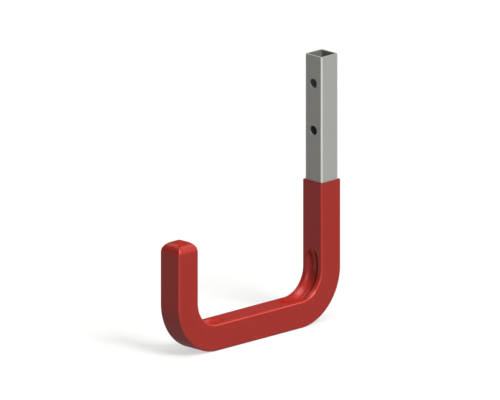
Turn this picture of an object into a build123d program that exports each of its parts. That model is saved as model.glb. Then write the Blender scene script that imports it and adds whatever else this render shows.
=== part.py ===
from build123d import *
import os

# Garage utility hook: a square steel tube bent to a U and dipped in vinyl up to its screw holes.
# +Z is up, the wall is towards +Y and the hook opens towards -Y, symmetric about X = 0.
# The origin is the centre of the two screw holes, on the back face of the tube.
# All sizes are in millimetres.

# Square steel tube, with sharp corners inside because its wall is thicker than its corner radius
tube_side = 19.05
tube_wall = 1.65
tube_corner_radius = 1.5

# Line of the hook, along the middle of the tube
shank_height = 211.2
leg_spacing = 162.8
tip_height = 85.5
bend_radius = 33.5

# Groove that the bead of the bending die presses into the inside of each bend
groove_depth = 4.1
bead_radius = 8.9
bead_flats = 8
die_setback = 1.75

# Screw holes through the front and back walls of the long leg
hole_diameter = 8.0
hole_spacing = 39.5
hole_from_mouth = 23.4

# Vinyl dip coating, whose corners stay tighter than an even coat would make them
bare_length = 105.3
coat_thickness = 1.6
coat_corner_radius = 1.8
coat_lip = 0.6

# Domed plug in the mouth of the short leg
head_roll_radius = 7.25
head_rim = 1.5
plug_fit = 0.1
plug_wall = 1.6
stem_length = 16.0
rib_count = 3
rib_pitch = 4.0
rib_width = 1.2
rib_height = 0.6

# Short flats that lead round each soft corner of the tube and its coating
corner_flats = 3
quarter_turn = 90

# Places and sizes that follow from the ones above
mouth_z = hole_from_mouth + hole_spacing / 2
base_z = mouth_z - shank_height
coat_start_z = mouth_z - bare_length
coat_tip_z = base_z + tip_height
head_tip_z = coat_tip_z - coat_thickness
tube_end_z = head_tip_z - head_roll_radius - head_rim
long_leg_y = -tube_side / 2
short_leg_y = long_leg_y - leg_spacing
bore_side = tube_side - 2 * tube_wall
coat_side = tube_side + 2 * coat_thickness
die_distance = bend_radius + die_setback
bead_ring_radius = die_distance - tube_side / 2 + groove_depth - bead_radius
cut_overrun = 1.0


def soft_square(side, corner_radius):
    """Square section whose corners go round in short flats."""
    inset = side / 2 - corner_radius
    points = []
    for corner in range(4):
        centre = Vector(inset, inset).rotate(Axis.Z, corner * quarter_turn)
        for flat in range(corner_flats + 1):
            turn = (corner + flat / corner_flats) * quarter_turn
            points.append(centre + Vector(corner_radius, 0).rotate(Axis.Z, turn))
    return make_face(Polyline(*points, close=True))


def tube_section():
    """Outer section of the steel tube."""
    return soft_square(tube_side, tube_corner_radius)


def coat_section():
    """Outer section of the coated tube."""
    return soft_square(coat_side, coat_corner_radius)


def bent_bar(section, start_z, end_z):
    """Bar from start_z on the long leg, round both bends, to end_z on the short leg."""
    line = FilletPolyline(
        (0, long_leg_y, start_z),
        (0, long_leg_y, base_z),
        (0, short_leg_y, base_z),
        (0, short_leg_y, end_z),
        radius=bend_radius,
    )
    start = Plane(origin=(0, long_leg_y, start_z), x_dir=(1, 0, 0), z_dir=(0, 0, -1))
    return sweep(start * section, line)


def flat_bead(radius):
    """Section of the bead that presses the steel, with straight flanks and a flat top."""
    return RegularPolygon(radius, bead_flats, major_radius=False, rotation=180 / bead_flats)


def pressed_grooves(bead):
    """Rings that a bead of this section sinks into the inside of the two bends."""
    ring = revolve(Plane.XZ * Pos(0, bead_ring_radius) * bead, Axis.X)
    long_bend = Pos(0, long_leg_y - die_distance, base_z + die_distance)
    short_bend = Pos(0, short_leg_y + die_distance, base_z + die_distance)
    return [long_bend * ring, short_bend * ring]


def pillow(section, side, roll_radius, height):
    """Upright block of this section whose top edges roll over to meet on the diagonals."""
    block = Box(side, side, height, align=(Align.CENTER, Align.CENTER, Align.MIN))
    block = fillet(block.faces().sort_by(Axis.Z)[-1].edges(), roll_radius)
    return block & extrude(section, height)


def tube_outside():
    """Solid bar with the outer form of the bent tube."""
    return bent_bar(tube_section(), mouth_z, tube_end_z) - pressed_grooves(flat_bead(bead_radius))


def tube_bore():
    """Space inside the tube, running out past both mouths."""
    bore = Rectangle(bore_side, bore_side)
    bar = bent_bar(bore, mouth_z + cut_overrun, tube_end_z + cut_overrun)
    return bar - pressed_grooves(flat_bead(bead_radius + tube_wall))


def screw_holes():
    """Two holes through the front and back walls of the long leg."""
    drill = Rot(90, 0, 0) * Cylinder(hole_diameter / 2, 2 * tube_side)
    upper = Pos(0, long_leg_y, hole_spacing / 2)
    lower = Pos(0, long_leg_y, -hole_spacing / 2)
    return [upper * drill, lower * drill]


def square_tube():
    """The bent tube with its pressed bends and screw holes."""
    return tube_outside() - tube_bore() - screw_holes()


def plug_head():
    """Domed head that carries the outer form of the tube on above its mouth."""
    head = pillow(tube_section(), tube_side, head_roll_radius, head_tip_z - tube_end_z)
    return Pos(0, short_leg_y, tube_end_z) * head


def stem_piece(side, depth, length):
    """Square block in the mouth of the short leg, its top face at depth below the mouth."""
    top = Pos(0, short_leg_y, tube_end_z - depth)
    return top * Box(side, side, length, align=(Align.CENTER, Align.CENTER, Align.MAX))


def end_plug():
    """Push-in plug: a domed head on a hollow stem with gripping ribs."""
    rib_side = bore_side - 2 * plug_fit
    stem_side = rib_side - 2 * rib_height
    plug = plug_head() + stem_piece(stem_side, 0, stem_length)
    for rib in range(1, rib_count + 1):
        plug += stem_piece(rib_side, rib * rib_pitch, rib_width)
    return plug - stem_piece(stem_side - 2 * plug_wall, 0, stem_length)


def coat_outside():
    """Solid bar with the outer form of the coating: a bevelled lip, the bends and the domed tip."""
    bar = bent_bar(coat_section(), coat_start_z, tube_end_z)
    bar = chamfer(bar.faces().sort_by(Axis.Z)[-1].edges(), coat_lip)
    tip_roll = head_roll_radius + coat_thickness
    tip = pillow(coat_section(), coat_side, tip_roll, coat_tip_z - tube_end_z)
    bar += Pos(0, short_leg_y, tube_end_z) * tip
    return bar - pressed_grooves(Circle(bead_radius - coat_thickness))


def vinyl_coating():
    """Dip coating that wraps the tube and the head of the plug."""
    return coat_outside() - tube_outside() - plug_head()


pieces = {
    "square_tube": square_tube(),
    "vinyl_coating": vinyl_coating(),
    "end_plug": end_plug(),
}

os.makedirs("parts", exist_ok=True)
for name, piece in pieces.items():
    piece.label = name
    export_step(piece, f"parts/{name}.step")
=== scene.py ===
"""Looks of the garage utility hook: a zinc-plated square tube in a red vinyl dip coating."""
import logging
import math
from collections.abc import Sequence
from dataclasses import dataclass, replace
from enum import Enum
from typing import Any

import bmesh
import bpy
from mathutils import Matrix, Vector


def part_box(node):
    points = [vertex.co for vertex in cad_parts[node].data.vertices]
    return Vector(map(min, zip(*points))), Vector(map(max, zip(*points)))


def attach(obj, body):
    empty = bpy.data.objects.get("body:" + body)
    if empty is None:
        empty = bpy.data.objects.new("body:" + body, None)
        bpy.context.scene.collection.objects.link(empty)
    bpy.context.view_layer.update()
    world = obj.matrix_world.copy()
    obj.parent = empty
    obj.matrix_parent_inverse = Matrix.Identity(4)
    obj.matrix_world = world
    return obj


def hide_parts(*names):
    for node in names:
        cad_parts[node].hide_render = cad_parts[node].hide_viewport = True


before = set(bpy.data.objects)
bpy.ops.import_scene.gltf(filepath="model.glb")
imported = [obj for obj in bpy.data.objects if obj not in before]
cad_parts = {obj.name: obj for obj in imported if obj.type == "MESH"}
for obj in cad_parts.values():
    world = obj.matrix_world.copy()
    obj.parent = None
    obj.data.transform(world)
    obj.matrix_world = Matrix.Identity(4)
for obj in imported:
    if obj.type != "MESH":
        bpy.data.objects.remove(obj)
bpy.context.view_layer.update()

log = logging.getLogger("garage_hook")

MM = 0.001
BODY = "root"
NOISE_MIDDLE = 0.5
QUAD_SIDES = 4
QUARTER_TURN = math.pi / 2
WHITE = (1, 1, 1, 1)

Ring = list[Vector]
Colour = tuple[float, float, float]
ColourOrLink = Colour | bpy.types.NodeSocket


class Surface(Enum):
    """The two surfaces of a wall."""

    OUTSIDE = "outside"
    INSIDE = "inside"


@dataclass(frozen=True)
class Station:
    """A place on the middle line of the tube, with the direction that faces into the hook."""

    centre: Vector
    inward: Vector

    def point(self, across: float, towards: float) -> Vector:
        """Point of the section, across the hook and towards its inside."""
        return self.centre + Vector((across, 0, 0)) + self.inward * towards


@dataclass(frozen=True)
class HookLine:
    """Middle line of the tube: down the long leg, round both bends and up the short leg."""

    long_leg_y: float
    short_leg_y: float
    base_z: float
    bend_radius: float = 33.5 * MM
    groove_reach: float = 21.0 * MM

    @property
    def bend_top(self) -> float:
        """Height at which both bends run into the legs."""
        return self.base_z + self.bend_radius

    @property
    def bend_length(self) -> float:
        """Length of one bend along the middle line."""
        return self.bend_radius * QUARTER_TURN

    def down(self, height: float) -> float:
        """Travel from the bend's top to a height on a leg."""
        return height - self.bend_top

    @property
    def base_length(self) -> float:
        """Length of the straight run between the bends."""
        return self.long_leg_y - self.short_leg_y - 2 * self.bend_radius

    def at(self, travel: float) -> Station:
        """Station at a distance along the line.

        Args:
            travel: Distance from the top of the long leg's bend, negative up the long leg.

        Returns:
            The station there.
        """
        bend_end = self.bend_length
        base_end = bend_end + self.base_length
        short_start = base_end + self.bend_length
        long_centre = Vector((0, self.long_leg_y - self.bend_radius, self.bend_top))
        short_centre = Vector((0, self.short_leg_y + self.bend_radius, self.bend_top))
        if travel <= 0:
            return Station(Vector((0, self.long_leg_y, self.bend_top - travel)), Vector((0, -1, 0)))
        if travel < bend_end:
            turn = travel / self.bend_radius
            outward = Vector((0, math.cos(turn), -math.sin(turn)))
            return Station(long_centre + outward * self.bend_radius, -outward)
        if travel <= base_end:
            along = travel - bend_end
            return Station(Vector((0, long_centre.y - along, self.base_z)), Vector((0, 0, 1)))
        if travel < short_start:
            turn = (travel - base_end) / self.bend_radius
            outward = Vector((0, -math.sin(turn), -math.cos(turn)))
            return Station(short_centre + outward * self.bend_radius, -outward)
        rise = travel - short_start
        return Station(Vector((0, self.short_leg_y, self.bend_top + rise)), Vector((0, 1, 0)))

    def stations(self, start_z: float, end_z: float, step: float) -> list[Station]:
        """Stations from the long leg to the short leg, close together round the bends.

        Args:
            start_z: Height on the long leg to start at.
            end_z: Height on the short leg to end at.
            step: Spacing round the bends and their grooves.

        Returns:
            The stations in order.
        """
        start = -self.down(start_z)
        end = 2 * self.bend_length + self.base_length + self.down(end_z)
        travels = {start, end}
        for bend_start in (0.0, self.bend_length + self.base_length):
            low = max(start, bend_start - self.groove_reach)
            high = min(end, bend_start + self.bend_length + self.groove_reach)
            count = math.ceil((high - low) / step)
            travels.update(low + (high - low) * index / count for index in range(count + 1))
        return [self.at(travel) for travel in sorted(travels)]


@dataclass(frozen=True)
class BendDie:
    """Round die whose bead presses a groove into the inside of each bend.

    Its centre stands off the tube by the setback more than the centre of the bend does.
    """

    line: HookLine
    tube_half: float
    setback: float = 1.75 * MM
    groove_depth: float = 4.1 * MM
    bead_radius: float = 8.9 * MM

    @property
    def distance(self) -> float:
        """Distance from the die's centre to the middle of the tube on either side."""
        return self.line.bend_radius + self.setback

    @property
    def ring_radius(self) -> float:
        """Radius of the circle that the bead's middle follows."""
        return self.distance - self.tube_half + self.groove_depth - self.bead_radius

    def press(self, point: Vector, bead: float, rim: float) -> Vector:
        """Point of the wall after pressing.

        Args:
            point: Point of the wall before.
            bead: Radius of the bead as this surface feels it.
            rim: How softly the wall runs into the groove.

        Returns:
            The point, moved away from the die's centre where the bead reaches it.
        """
        if abs(point.x) >= bead:
            return point
        centre_z = self.line.base_z + self.distance
        long_y = self.line.long_leg_y - self.distance
        short_y = self.line.short_leg_y + self.distance
        middle_y = (long_y + short_y) / 2
        centre = Vector((point.x, long_y if point.y > middle_y else short_y, centre_z))
        out = point - centre
        groove = self.ring_radius + math.sqrt(bead**2 - point.x**2)
        wall = out.length
        # The larger of the two, with the corner between them rounded over the rim
        blend = max(rim - abs(groove - wall), 0) / rim
        reach = max(groove, wall) + blend**2 * rim / 4
        return centre + out * (reach / wall)


@dataclass(frozen=True)
class SoftSquare:
    """Square section with rounded corners."""

    half: float
    corner: float
    face_cuts: int = 40
    side_cuts: int = 2
    corner_cuts: int = 8

    def shrunk(self, inset: float) -> "SoftSquare":
        """The same section with every side moved in."""
        return replace(self, half=self.half - inset)

    def outline(self) -> list[tuple[float, float]]:
        """Walks once round the section, from the face that looks into the hook.

        Returns:
            The points, each across the hook and towards its inside.
        """
        flat = self.half - self.corner
        points = []
        for quarter, cuts in enumerate((self.face_cuts, self.side_cuts, self.side_cuts, self.side_cuts)):
            turn = quarter * QUARTER_TURN
            for index in range(cuts):
                points.append(turned(flat - 2 * flat * index / cuts, self.half, turn))
            for index in range(self.corner_cuts):
                round_turn = QUARTER_TURN * index / self.corner_cuts
                across = -flat - self.corner * math.sin(round_turn)
                towards = flat + self.corner * math.cos(round_turn)
                points.append(turned(across, towards, turn))
        return points

    def ring(self, station: Station) -> Ring:
        """The section's points at a station."""
        return [station.point(across, towards) for across, towards in self.outline()]


def turned(across: float, towards: float, turn: float) -> tuple[float, float]:
    """Turns a section point about the middle of the tube.

    Args:
        across: Place across the hook.
        towards: Place towards its inside.
        turn: Angle in radians.

    Returns:
        The turned point.
    """
    return (
        across * math.cos(turn) - towards * math.sin(turn),
        across * math.sin(turn) + towards * math.cos(turn),
    )


def loft(name: str, rings: Sequence[Ring], closed: bool) -> bpy.types.Object:
    """Smooth skin through rings that have the same number of points.

    Args:
        name: Name of the piece.
        rings: The rings in order.
        closed: Whether the last ring joins the first. If not, both ends get a cap.

    Returns:
        The new object.
    """
    mesh = bmesh.new()
    rows = [[mesh.verts.new(point) for point in ring] for ring in rings]
    count = len(rows[0])
    pairs = list(zip(rows, rows[1:]))
    if closed:
        pairs.append((rows[-1], rows[0]))
    else:
        mesh.faces.new(rows[0])
        mesh.faces.new(rows[-1])
    for first, second in pairs:
        for index in range(count):
            after = (index + 1) % count
            mesh.faces.new((first[index], first[after], second[after], second[index]))
    bmesh.ops.recalc_face_normals(mesh, faces=mesh.faces)
    for face in mesh.faces:
        face.smooth = True
    data = bpy.data.meshes.new(name)
    mesh.to_mesh(data)
    mesh.free()
    piece = bpy.data.objects.new(name, data)
    bpy.context.scene.collection.objects.link(piece)
    return piece


def bake_modifiers(piece: bpy.types.Object) -> None:
    """Makes the piece's modified mesh its own.

    Args:
        piece: The object whose modifiers are applied.
    """
    evaluated = piece.evaluated_get(bpy.context.evaluated_depsgraph_get())
    data = bpy.data.meshes.new_from_object(evaluated)
    piece.modifiers.clear()
    piece.data = data


def merge_slivers(piece: bpy.types.Object, size: float) -> None:
    """Closes up edges too small to be seen, and cuts faces with many sides into triangles.

    Args:
        piece: The object whose own mesh is cleaned.
        size: Length below which an edge is closed up.
    """
    mesh = bmesh.new()
    mesh.from_mesh(piece.data)
    bmesh.ops.remove_doubles(mesh, verts=mesh.verts, dist=size)
    bmesh.ops.dissolve_degenerate(mesh, edges=mesh.edges, dist=size)
    many_sided = [face for face in mesh.faces if len(face.verts) > QUAD_SIDES]
    bmesh.ops.triangulate(mesh, faces=many_sided, quad_method="BEAUTY", ngon_method="BEAUTY")
    mesh.to_mesh(piece.data)
    mesh.free()


def keep_flats_flat(piece: bpy.types.Object, sharp_angle: float) -> None:
    """Lets large flat faces rule the shading of the corners beside them.

    Args:
        piece: The object to shade.
        sharp_angle: Edges that turn by more than this stay crisp, in degrees.
    """
    piece.data.set_sharp_from_angle(angle=math.radians(sharp_angle))
    shading = piece.modifiers.new("flat_faces", "WEIGHTED_NORMAL")
    shading.keep_sharp = True


class Signal:
    """A number that varies over a surface, written as a Python expression."""

    def __init__(self, shader: "Shader", socket: bpy.types.NodeSocket) -> None:
        """Wraps a socket of a shader's node."""
        self.shader = shader
        self.socket = socket

    def maths(self, operation: str, first: "Signal | float", second: "Signal | float") -> "Signal":
        """Result of one Math node."""
        node = self.shader.node("ShaderNodeMath", {"operation": operation}, {0: first, 1: second})
        return Signal(self.shader, node.outputs[0])

    def __add__(self, other: "Signal | float") -> "Signal":
        """Sum."""
        return self.maths("ADD", self, other)

    __radd__ = __add__

    def __sub__(self, other: "Signal | float") -> "Signal":
        """Difference."""
        return self.maths("SUBTRACT", self, other)

    def __rsub__(self, other: "Signal | float") -> "Signal":
        """Difference the other way round."""
        return self.maths("SUBTRACT", other, self)

    def __mul__(self, other: "Signal | float") -> "Signal":
        """Product."""
        return self.maths("MULTIPLY", self, other)

    __rmul__ = __mul__

    def at_least(self, other: "Signal | float") -> "Signal":
        """The larger of the two."""
        return self.maths("MAXIMUM", self, other)

    def at_most(self, other: "Signal | float") -> "Signal":
        """The smaller of the two."""
        return self.maths("MINIMUM", self, other)

    def size(self) -> "Signal":
        """The number without its sign."""
        return self.maths("ABSOLUTE", self, 0.0)

    def rise(self, start: float, end: float) -> "Signal":
        """Smooth step.

        Args:
            start: Number at which the step is 0.
            end: Number at which it is 1, below the start for a step that falls.

        Returns:
            The step, which stays 0 before the start and 1 after the end.
        """
        inputs = {"Value": self, "From Min": start, "From Max": end}
        node = self.shader.node("ShaderNodeMapRange", {"interpolation_type": "SMOOTHSTEP"}, inputs)
        return Signal(self.shader, node.outputs["Result"])


class Shader:
    """Builds the nodes of a material or of the world."""

    def __init__(self, owner: bpy.types.Material | bpy.types.World) -> None:
        """Empties the owner's node tree.

        Args:
            owner: The material or world to build.
        """
        owner.use_nodes = True
        self.tree = owner.node_tree
        self.tree.nodes.clear()

    def node(self, kind: str, settings: dict[str, Any], inputs: dict[str | int, Any]) -> bpy.types.Node:
        """One node.

        Args:
            kind: The node's type.
            settings: Its own settings, set first.
            inputs: Values or links of its sockets, by name or number.

        Returns:
            The new node.
        """
        made = self.tree.nodes.new(kind)
        for key, value in settings.items():
            setattr(made, key, value)
        for key, value in inputs.items():
            if isinstance(value, Signal):
                value = value.socket
            if isinstance(value, bpy.types.NodeSocket):
                self.tree.links.new(value, made.inputs[key])
            else:
                made.inputs[key].default_value = value
        return made

    def position(self) -> bpy.types.NodeSocket:
        """Position on the object in metres."""
        return self.node("ShaderNodeTexCoord", {}, {}).outputs["Object"]

    def axes(self) -> tuple[Signal, Signal, Signal]:
        """Position on the object in metres, along X, Y and Z."""
        parts = self.node("ShaderNodeSeparateXYZ", {}, {0: self.position()})
        return tuple(Signal(self, parts.outputs[name]) for name in "XYZ")

    def noise(self, waves: tuple[float, float, float], detail: float) -> Signal:
        """Soft noise between 0 and 1.

        Args:
            waves: Number of waves per metre along each axis.
            detail: Number of finer layers on top.

        Returns:
            The noise.
        """
        place = self.node("ShaderNodeVectorMath", {"operation": "MULTIPLY"}, {0: self.position(), 1: waves})
        inputs = {"Vector": place.outputs[0], "Scale": 1.0, "Detail": detail}
        made = self.node("ShaderNodeTexNoise", {"noise_dimensions": "3D"}, inputs)
        return Signal(self, made.outputs["Fac"])

    def blend(self, factor: Signal, first: ColourOrLink, second: ColourOrLink) -> bpy.types.NodeSocket:
        """Colour between two colours.

        Args:
            factor: 0 for the first colour and 1 for the second.
            first: A fixed colour or a link.
            second: A fixed colour or a link.

        Returns:
            The mixed colour.
        """
        low, high = ((*end, 1) if isinstance(end, tuple) else end for end in (first, second))
        # A Mix node of colours has them in its sockets 6 and 7, and gives its result at output 2
        mixed = self.node("ShaderNodeMix", {"data_type": "RGBA"}, {"Factor": factor, 6: low, 7: high})
        return mixed.outputs[2]

    def bump(self, height: Signal, depth: float) -> bpy.types.NodeSocket:
        """Normal of a surface whose height varies by a depth in metres."""
        made = self.node("ShaderNodeBump", {}, {"Strength": 1.0, "Distance": depth, "Height": height})
        return made.outputs["Normal"]

    def surface(self, inputs: dict[str, Any]) -> None:
        """Principled surface as the material's output."""
        principled = self.node("ShaderNodeBsdfPrincipled", {}, inputs)
        self.node("ShaderNodeOutputMaterial", {}, {"Surface": principled.outputs[0]})

    def seen(self) -> Signal:
        """Tells the rays that see a surface from the light that falls on the object.

        Returns:
            1 for rays from the camera, in reflections and through glass, and 0 for all others.
        """
        path = self.node("ShaderNodeLightPath", {}, {})
        camera, glossy, through = (
            Signal(self, path.outputs[name])
            for name in ("Is Camera Ray", "Is Glossy Ray", "Is Transmission Ray")
        )
        return camera.at_least(glossy).at_least(through)

    def matt(self, colour: Colour) -> bpy.types.NodeSocket:
        """Shader of a plain matt surface."""
        return self.node("ShaderNodeBsdfDiffuse", {}, {"Color": (*colour, 1)}).outputs[0]

    def glow(self, strength: float) -> bpy.types.NodeSocket:
        """Shader of an even white glow."""
        return self.node("ShaderNodeEmission", {}, {"Color": WHITE, "Strength": strength}).outputs[0]

    def by_ray(self, lighting: bpy.types.NodeSocket, looks: bpy.types.NodeSocket) -> bpy.types.NodeSocket:
        """Joins what lights the object with what is seen in its place.

        Args:
            lighting: Shader for the light that falls on the object.
            looks: Shader for the camera and for reflections.

        Returns:
            Both as one shader.
        """
        return self.node("ShaderNodeMixShader", {}, {0: self.seen(), 1: lighting, 2: looks}).outputs[0]


@dataclass(frozen=True)
class DipVinyl:
    """Satin red vinyl that cooled after the dip, faintly wavy and grainy, with a painted highlight along
    its corners.

    The corner highlight and side distances are measured from the middle plane of the hook, and the lip
    shade ones from the top of the lip, below which shade is painted on. The gloss comes from a clear layer
    with a soft shine.
    """

    light: Colour = (0.390, 0.0215, 0.0135)
    deep: Colour = (0.362, 0.0175, 0.0105)
    # Painted highlight: a lighter red along the coat's corners
    corner_highlight: Colour = (0.530, 0.0440, 0.0340)
    corner_highlight_from: float = 9.4 * MM
    corner_highlight_to: float = 10.2 * MM
    side_from: float = 10.9 * MM
    side_to: float = 11.1 * MM
    roughness: float = 0.40
    roughness_spread: float = 0.06
    metallic: float = 0.14
    base_gloss: float = 0.0
    edge_tint: Colour = (1.0, 0.30, 0.25)
    shine: float = 0.25
    shine_roughness: float = 0.25
    shine_ior: float = 1.8
    # Painted shade: a darker red just below the top of the lip
    lip_shade: Colour = (0.200, 0.0160, 0.0130)
    lip_shade_from: float = 0.9 * MM
    lip_shade_to: float = 0.3 * MM
    waves_per_metre: float = 70.0
    wave_detail: float = 2.0
    grain_per_metre: float = 1400.0
    grain_detail: float = 1.0
    grain_share: float = 0.12
    bump_depth: float = 0.10 * MM

    def material(self, lip_z: float) -> bpy.types.Material:
        """The vinyl as a material.

        Args:
            lip_z: Height of the top of the lip, below which shade is painted on.

        Returns:
            The material.
        """
        made = bpy.data.materials.new("red_dip_vinyl")
        shader = Shader(made)
        waves = shader.noise((self.waves_per_metre,) * 3, self.wave_detail)
        grain = shader.noise((self.grain_per_metre,) * 3, self.grain_detail)
        x, _, z = shader.axes()
        side = x.size()
        # Mask of the painted highlight along the coat's corners
        corner = side.rise(self.corner_highlight_from, self.corner_highlight_to) * side.rise(self.side_to, self.side_from)
        # Mask of the painted shade just below the top of the lip
        lip = (lip_z - z).rise(self.lip_shade_from, self.lip_shade_to)
        faces = shader.blend(waves, self.deep, self.light)
        # The painted corner highlight laid over the vinyl's own colour
        without_lip_shade = shader.blend(corner, faces, self.corner_highlight)
        shader.surface(
            {
                "Base Color": shader.blend(lip, without_lip_shade, self.lip_shade),
                "Roughness": self.roughness + self.roughness_spread * (grain - NOISE_MIDDLE),
                "Metallic": self.metallic,
                "Specular IOR Level": self.base_gloss,
                "Specular Tint": (*self.edge_tint, 1),
                "Coat Weight": self.shine,
                "Coat Roughness": self.shine_roughness,
                "Coat IOR": self.shine_ior,
                "Normal": shader.bump(waves + self.grain_share * grain, self.bump_depth),
            }
        )
        return made


@dataclass(frozen=True)
class ZincPlate:
    """Satin zinc on drawn steel, with fine lines along the tube, a painted highlight along the bare leg's
    corners and painted shade in the bore.

    The edge highlight and bore shade distances are measured from the middle of the tube.
    """

    light: Colour = (0.44, 0.44, 0.41)
    dull: Colour = (0.39, 0.39, 0.365)
    # Painted highlight along the bare leg's corners
    edge_highlight: Colour = (0.84, 0.84, 0.815)
    edge_highlight_from: float = 8.0 * MM
    edge_highlight_to: float = 8.9 * MM
    # Painted shade inside the bore
    inside: Colour = (0.21, 0.21, 0.197)
    bore_shade_from: float = 7.85 * MM
    bore_shade_to: float = 8.2 * MM
    gloss: float = 0.2
    metallic: float = 0.15
    roughness: float = 0.42
    roughness_spread: float = 0.12
    lines_across_per_metre: float = 1600.0
    lines_along_per_metre: float = 14.0
    line_detail: float = 2.0
    clouds_per_metre: float = 45.0
    cloud_detail: float = 3.0
    cloud_share: float = 0.5
    bump_depth: float = 0.02 * MM

    def material(self, leg_y: float) -> bpy.types.Material:
        """The zinc-plated steel as a material.

        Args:
            leg_y: Place of the middle of the bare leg, whose corners get a painted highlight and whose bore
                gets painted shade.

        Returns:
            The material.
        """
        made = bpy.data.materials.new("zinc_plated_steel")
        shader = Shader(made)
        x, y, _ = shader.axes()
        side, front = x.size(), (y - leg_y).size()
        # Mask of the painted highlight along the bare leg's corners
        corner = side.at_most(front).rise(self.edge_highlight_from, self.edge_highlight_to)
        # Mask that is 0 in the bore, where shade is painted, and 1 on the outside
        outside = side.at_least(front).rise(self.bore_shade_from, self.bore_shade_to)
        across = self.lines_across_per_metre
        lines = shader.noise((across, across, self.lines_along_per_metre), self.line_detail)
        clouds = shader.noise((self.clouds_per_metre,) * 3, self.cloud_detail)
        shades = (1 - self.cloud_share) * lines + self.cloud_share * clouds
        plating = shader.blend(shades, self.dull, self.light)
        # Painted shade in the bore laid over the plating
        faces = shader.blend(outside, self.inside, plating)
        shader.surface(
            {
                "Base Color": shader.blend(corner, faces, self.edge_highlight),
                "Metallic": self.metallic,
                "Specular IOR Level": self.gloss,
                "Roughness": self.roughness + self.roughness_spread * (lines - NOISE_MIDDLE),
                "Normal": shader.bump(lines, self.bump_depth),
            }
        )
        return made


@dataclass(frozen=True)
class MouldedPlastic:
    """Dull black plastic with a spark-eroded grain."""

    light: Colour = (0.034, 0.034, 0.034)
    dark: Colour = (0.026, 0.026, 0.026)
    roughness: float = 0.6
    grain_per_metre: float = 900.0
    grain_detail: float = 2.0
    bump_depth: float = 0.03 * MM

    def material(self) -> bpy.types.Material:
        """The plastic as a material.

        Returns:
            The material.
        """
        made = bpy.data.materials.new("moulded_plastic")
        shader = Shader(made)
        grain = shader.noise((self.grain_per_metre,) * 3, self.grain_detail)
        shader.surface(
            {
                "Base Color": shader.blend(grain, self.dark, self.light),
                "Roughness": self.roughness,
                "Normal": shader.bump(grain, self.bump_depth),
            }
        )
        return made


@dataclass(frozen=True)
class PaleFloor:
    """Plain floor that looks white, keeps the hook's shadow and throws little light back up."""

    grey: Colour = (0.40, 0.40, 0.39)
    dim: Colour = (0.10, 0.10, 0.097)
    lift: float = 0.58

    def material(self) -> bpy.types.Material:
        """The floor as a material.

        Returns:
            The material.
        """
        made = bpy.data.materials.new("pale_floor")
        shader = Shader(made)
        matt, glow = shader.matt(self.grey), shader.glow(self.lift)
        lifted = shader.node("ShaderNodeAddShader", {}, {0: matt, 1: glow})
        floor = shader.by_ray(shader.matt(self.dim), lifted.outputs[0])
        shader.node("ShaderNodeOutputMaterial", {}, {"Surface": floor})
        return made


@dataclass(frozen=True)
class WhiteBackdrop:
    """Even white that shows where the lowest views look in under the floor."""

    white: float = 1.0
    black: Colour = (0, 0, 0)

    def material(self) -> bpy.types.Material:
        """The backdrop as a material.

        Returns:
            The material.
        """
        made = bpy.data.materials.new("white_backdrop")
        shader = Shader(made)
        backdrop = shader.by_ray(shader.matt(self.black), shader.glow(self.white))
        shader.node("ShaderNodeOutputMaterial", {}, {"Surface": backdrop})
        return made


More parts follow.
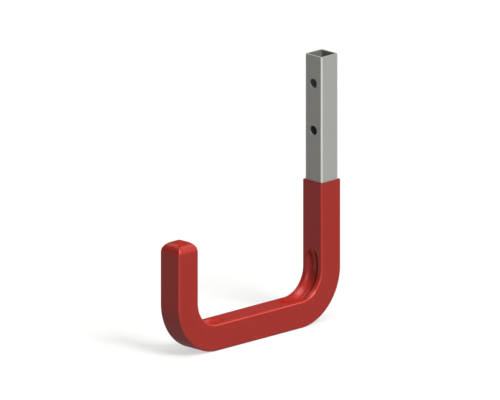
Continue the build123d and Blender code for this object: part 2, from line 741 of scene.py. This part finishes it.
@dataclass
class SteelTube:
    """The bent square tube with its open mouth and two screw holes."""

    line: HookLine
    die: BendDie
    mouth_z: float
    end_z: float
    half: float
    wall: float = 1.65 * MM
    corner: float = 1.5 * MM
    bore_corner: float = 0.3 * MM
    groove_rim: float = 0.5 * MM
    hole_radius: float = 4.0 * MM
    hole_count: int = 2
    hole_spacing: float = 39.5 * MM
    hole_from_mouth: float = 23.4 * MM
    hole_sides: int = 96
    edge_break: float = 0.18 * MM
    edge_cuts: int = 2
    sliver: float = 0.004 * MM
    bend_step: float = 2.0 * MM
    sharp_angle: float = 35.0
    face_cuts: int = 20

    def skin(self, surface: Surface) -> list[Ring]:
        """Rings of one surface from the mouth to the end.

        Args:
            surface: Outside or inside of the tube's wall.

        Returns:
            The rings in order.
        """
        outside = surface is Surface.OUTSIDE
        inset = 0.0 if outside else self.wall
        corner = self.corner if outside else self.bore_corner
        section = SoftSquare(self.half - inset, corner, face_cuts=self.face_cuts)
        bead = self.die.bead_radius + inset
        stations = self.line.stations(self.mouth_z, self.end_z, self.bend_step)
        return [
            [self.die.press(point, bead, self.groove_rim) for point in section.ring(station)]
            for station in stations
        ]

    def drill(self, piece: bpy.types.Object) -> None:
        """Cuts both screw holes through the front and back walls.

        Args:
            piece: The tube.
        """
        side = 2 * self.half
        cutter = bmesh.new()
        for hole in range(self.hole_count):
            made = bmesh.ops.create_cone(
                cutter,
                cap_ends=True,
                segments=self.hole_sides,
                radius1=self.hole_radius,
                radius2=self.hole_radius,
                depth=2 * side,
            )
            height = self.mouth_z - self.hole_from_mouth - hole * self.hole_spacing
            for vertex in made["verts"]:
                vertex.co = Vector((vertex.co.x, self.line.long_leg_y + vertex.co.z, height + vertex.co.y))
        bmesh.ops.recalc_face_normals(cutter, faces=cutter.faces)
        data = bpy.data.meshes.new("screw_hole_cutter")
        cutter.to_mesh(data)
        cutter.free()
        tool = bpy.data.objects.new("screw_hole_cutter", data)
        bpy.context.scene.collection.objects.link(tool)
        cut = piece.modifiers.new("screw_holes", "BOOLEAN")
        cut.operation = "DIFFERENCE"
        cut.solver = "EXACT"
        cut.object = tool
        bpy.context.view_layer.update()
        bake_modifiers(piece)
        bpy.data.objects.remove(tool)

    def build(self) -> bpy.types.Object:
        """The tube as one closed piece in place of its CAD node.

        Returns:
            The piece.
        """
        rings = self.skin(Surface.OUTSIDE) + self.skin(Surface.INSIDE)[::-1]
        piece = loft("zinc_tube", rings, closed=True)
        self.drill(piece)
        edges = piece.modifiers.new("broken_edges", "BEVEL")
        edges.limit_method = "ANGLE"
        edges.angle_limit = math.radians(self.sharp_angle)
        edges.width = self.edge_break
        edges.segments = self.edge_cuts
        bake_modifiers(piece)
        merge_slivers(piece, self.sliver)
        for polygon in piece.data.polygons:
            polygon.use_smooth = True
        keep_flats_flat(piece, self.sharp_angle)
        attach(piece, BODY)
        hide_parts("square_tube")
        return piece

    def dress(self, piece: bpy.types.Object, finish: ZincPlate) -> None:
        """Gives the tube its zinc plating.

        Args:
            piece: The tube.
            finish: The plating.
        """
        piece.data.materials.clear()
        piece.data.materials.append(finish.material(self.line.long_leg_y))


@dataclass
class VinylCoat:
    """The dip coating: a rolled lip, both bends with their grooves and the domed tip."""

    line: HookLine
    die: BendDie
    lip_z: float
    tip_z: float
    tube_half: float
    thickness: float
    corner: float = 1.8 * MM
    tube_corner: float = 1.5 * MM
    groove_rim: float = 1.5 * MM
    hidden_rim: float = 0.5 * MM
    lip_roll: float = 0.5 * MM
    lip_cuts: int = 6
    tip_roll: float = 8.85 * MM
    tip_cuts: int = 20
    shown_step: float = 0.6 * MM
    hidden_step: float = 2.0 * MM
    sharp_angle: float = 60.0

    def tip(self, section: SoftSquare, top_z: float, roll: float) -> list[Ring]:
        """Rings of a domed end, whose four sides roll over to a small flat top.

        Args:
            section: Section of the leg below the dome.
            top_z: Height of the flat top.
            roll: Radius of the roll.

        Returns:
            The rings from the leg up.
        """
        rings = []
        for index in range(1, self.tip_cuts + 1):
            turn = QUARTER_TURN * index / self.tip_cuts
            height = top_z - roll * (1 - math.sin(turn))
            centre = Vector((0, self.line.short_leg_y, height))
            inset = roll * (1 - math.cos(turn))
            rings.append(section.shrunk(inset).ring(Station(centre, Vector((0, 1, 0)))))
        return rings

    def lip(self, section: SoftSquare) -> list[Ring]:
        """Rings of the rolled lip.

        Args:
            section: Section of the coating's outside below the lip.

        Returns:
            The rings, from the tube out to the coating's side.
        """
        rings = []
        for index in range(self.lip_cuts):
            turn = QUARTER_TURN * index / self.lip_cuts
            height = self.lip_z - self.lip_roll * (1 - math.cos(turn))
            station = Station(Vector((0, self.line.long_leg_y, height)), Vector((0, -1, 0)))
            rings.append(section.shrunk(self.lip_roll * (1 - math.sin(turn))).ring(station))
        return rings

    def skin(self, surface: Surface) -> list[Ring]:
        """Rings of one surface from the lip to the tip.

        Args:
            surface: Outside of the coating, or inside where it grips the tube.

        Returns:
            The rings in order.
        """
        if surface is Surface.OUTSIDE:
            section = SoftSquare(self.tube_half + self.thickness, self.corner)
            bead, rim = self.die.bead_radius - self.thickness, self.groove_rim
            start, top, roll = self.lip_z - self.lip_roll, self.tip_z, self.tip_roll
            step, lip = self.shown_step, self.lip(section)
        else:
            section = SoftSquare(self.tube_half, self.tube_corner)
            bead, rim = self.die.bead_radius, self.hidden_rim
            start, top, roll = self.lip_z, self.tip_z - self.thickness, self.tip_roll - self.thickness
            step, lip = self.hidden_step, []
        rings = [
            [self.die.press(point, bead, rim) for point in section.ring(station)]
            for station in self.line.stations(start, top - roll, step)
        ]
        return lip + rings + self.tip(section, top, roll)

    def build(self) -> bpy.types.Object:
        """The coating as one closed piece in place of its CAD node.

        Returns:
            The piece.
        """
        rings = self.skin(Surface.INSIDE)[::-1] + self.skin(Surface.OUTSIDE)
        piece = loft("vinyl_coat", rings, closed=False)
        keep_flats_flat(piece, self.sharp_angle)
        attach(piece, BODY)
        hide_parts("vinyl_coating")
        return piece

    def dress(self, piece: bpy.types.Object, finish: DipVinyl) -> None:
        """Gives the coating its red vinyl."""
        piece.data.materials.append(finish.material(self.lip_z))


@dataclass
class EndPlug:
    """The plug under the coating's tip, which keeps its CAD form."""

    node: bpy.types.Object
    stem_length: float = 16.0 * MM

    def tube_end(self) -> float:
        """Height at which the short leg's tube ends, under the plug's head."""
        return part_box("end_plug")[0].z + self.stem_length

    def top(self) -> float:
        """Height of the top of the plug's head."""
        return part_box("end_plug")[1].z

    def build(self) -> bpy.types.Object:
        """The plug's own node."""
        return self.node

    def dress(self, piece: bpy.types.Object, finish: MouldedPlastic) -> None:
        """Gives the plug its moulded plastic.

        Args:
            piece: The plug.
            finish: The plastic.
        """
        piece.data.materials.clear()
        piece.data.materials.append(finish.material())


def bearing(azimuth: float, elevation: float) -> Vector:
    """Direction from the hook to a place round it.

    Args:
        azimuth: Degrees round from the -Y side towards +X.
        elevation: Degrees above the horizon.

    Returns:
        The direction, of length 1.
    """
    turn, rise = math.radians(azimuth), math.radians(elevation)
    return Vector((math.sin(turn) * math.cos(rise), -math.cos(turn) * math.cos(rise), math.sin(rise)))


@dataclass(frozen=True)
class Lamp:
    """A round soft light so far away that it is even over the whole floor.

    Its angles are in degrees, and its level is the brightness that it gives a white surface head on.
    """

    name: str
    azimuth: float
    elevation: float
    spread: float
    level: float

    def place(self) -> None:
        """Hangs the lamp."""
        light = bpy.data.lights.new(self.name, "SUN")
        light.angle = math.radians(self.spread)
        light.energy = self.level * math.pi
        lamp = bpy.data.objects.new(self.name, light)
        back = bearing(self.azimuth, self.elevation)
        lamp.location = back
        lamp.rotation_euler = (-back).to_track_quat("-Z", "Y").to_euler()
        bpy.context.scene.collection.objects.link(lamp)


@dataclass
class Studio:
    """Plain floor, soft lamps and a camera that looks along parallel lines.

    The anchor is the middle of the tube's mouth, which lands on its own pixel of the frame.
    """

    floor_z: float
    anchor: Vector
    anchor_pixel: tuple[float, float] = (321.62, 53.33)
    frame_pixels: tuple[int, int] = (500, 400)
    metres_per_pixel: float = 0.809 * MM
    azimuth: float = 45.0
    elevation: float = 15.6
    camera_distance: float = 1.5
    floor_half: float = 12.0
    backdrop_drop: float = 0.3
    ambient: float = 0.05
    sky: float = 0.4
    lamps: tuple[Lamp, ...] = (
        Lamp("key_lamp", 87.0, 46.0, 24.0, 0.82),
        Lamp("top_lamp", 55.0, 75.0, 30.0, 0.32),
        Lamp("edge_lamp", 155.0, 40.0, 26.0, 0.14),
        Lamp("fill_lamp", 272.0, 45.0, 30.0, 0.12),
        Lamp("front_lamp", 55.0, 19.0, 24.0, 0.16),
    )

    def plane(self, name: str, height: float, material: bpy.types.Material) -> None:
        """Lays a level square plane under the hook.

        Args:
            name: Name of the plane.
            height: Height at which it lies.
            material: What it is made of.
        """
        mesh = bmesh.new()
        half = self.floor_half
        corners = [(-half, -half), (half, -half), (half, half), (-half, half)]
        mesh.faces.new([mesh.verts.new((x, y, height)) for x, y in corners])
        data = bpy.data.meshes.new(name)
        mesh.to_mesh(data)
        mesh.free()
        data.materials.append(material)
        plane = bpy.data.objects.new(name, data)
        bpy.context.scene.collection.objects.link(plane)

    def ground(self) -> None:
        """Lays the floor that the hook stands on, and the backdrop under it."""
        self.plane("floor", self.floor_z, PaleFloor().material())
        self.plane("backdrop", self.floor_z - self.backdrop_drop, WhiteBackdrop().material())

    def world(self) -> None:
        """Gives dim even light from all round, and surfaces a pale sky to reflect."""
        world = bpy.data.worlds.new("studio")
        bpy.context.scene.world = world
        shader = Shader(world)
        dim, pale = (
            shader.node("ShaderNodeBackground", {}, {"Color": WHITE, "Strength": strength}).outputs[0]
            for strength in (self.ambient, self.sky)
        )
        shader.node("ShaderNodeOutputWorld", {}, {"Surface": shader.by_ray(dim, pale)})

    def camera(self) -> None:
        """Sets the camera so that the anchor lands on its pixel."""
        back = bearing(self.azimuth, self.elevation)
        turn = (-back).to_track_quat("-Z", "Y")
        right, up = turn @ Vector((1, 0, 0)), turn @ Vector((0, 1, 0))
        width, height = self.frame_pixels
        shift_x = (self.anchor_pixel[0] - width / 2) * self.metres_per_pixel
        shift_y = (height / 2 - self.anchor_pixel[1]) * self.metres_per_pixel
        data = bpy.data.cameras.new("camera")
        data.type = "ORTHO"
        data.ortho_scale = width * self.metres_per_pixel
        camera = bpy.data.objects.new("camera", data)
        camera.location = self.anchor - right * shift_x - up * shift_y + back * self.camera_distance
        camera.rotation_euler = turn.to_euler()
        bpy.context.scene.collection.objects.link(camera)
        bpy.context.scene.camera = camera

    def build(self) -> None:
        """Sets up the whole studio."""
        self.ground()
        self.world()
        self.camera()
        for lamp in self.lamps:
            lamp.place()
        bpy.context.scene.view_settings.view_transform = "Standard"


def main() -> None:
    """Builds, dresses and lights the hook."""
    logging.basicConfig(level=logging.INFO, format="%(message)s")
    tube_low, tube_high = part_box("square_tube")
    coat_low, coat_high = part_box("vinyl_coating")
    plug = EndPlug(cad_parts["end_plug"])
    tube_half = tube_high.x
    thickness = coat_high.x - tube_half
    line = HookLine(tube_high.y - tube_half, tube_low.y + tube_half, tube_low.z + tube_half)
    die = BendDie(line, tube_half)
    parts = (
        (SteelTube(line, die, tube_high.z, plug.tube_end(), tube_half), ZincPlate()),
        (VinylCoat(line, die, coat_high.z, plug.top() + thickness, tube_half, thickness), DipVinyl()),
        (plug, MouldedPlastic()),
    )
    for part, finish in parts:
        piece = part.build()
        part.dress(piece, finish)
        log.info("%s: %d faces", piece.name, len(piece.data.polygons))
    mouth = Vector((0, line.long_leg_y, tube_high.z))
    Studio(coat_low.z, mouth).build()


if __name__ == "__main__":
    main()
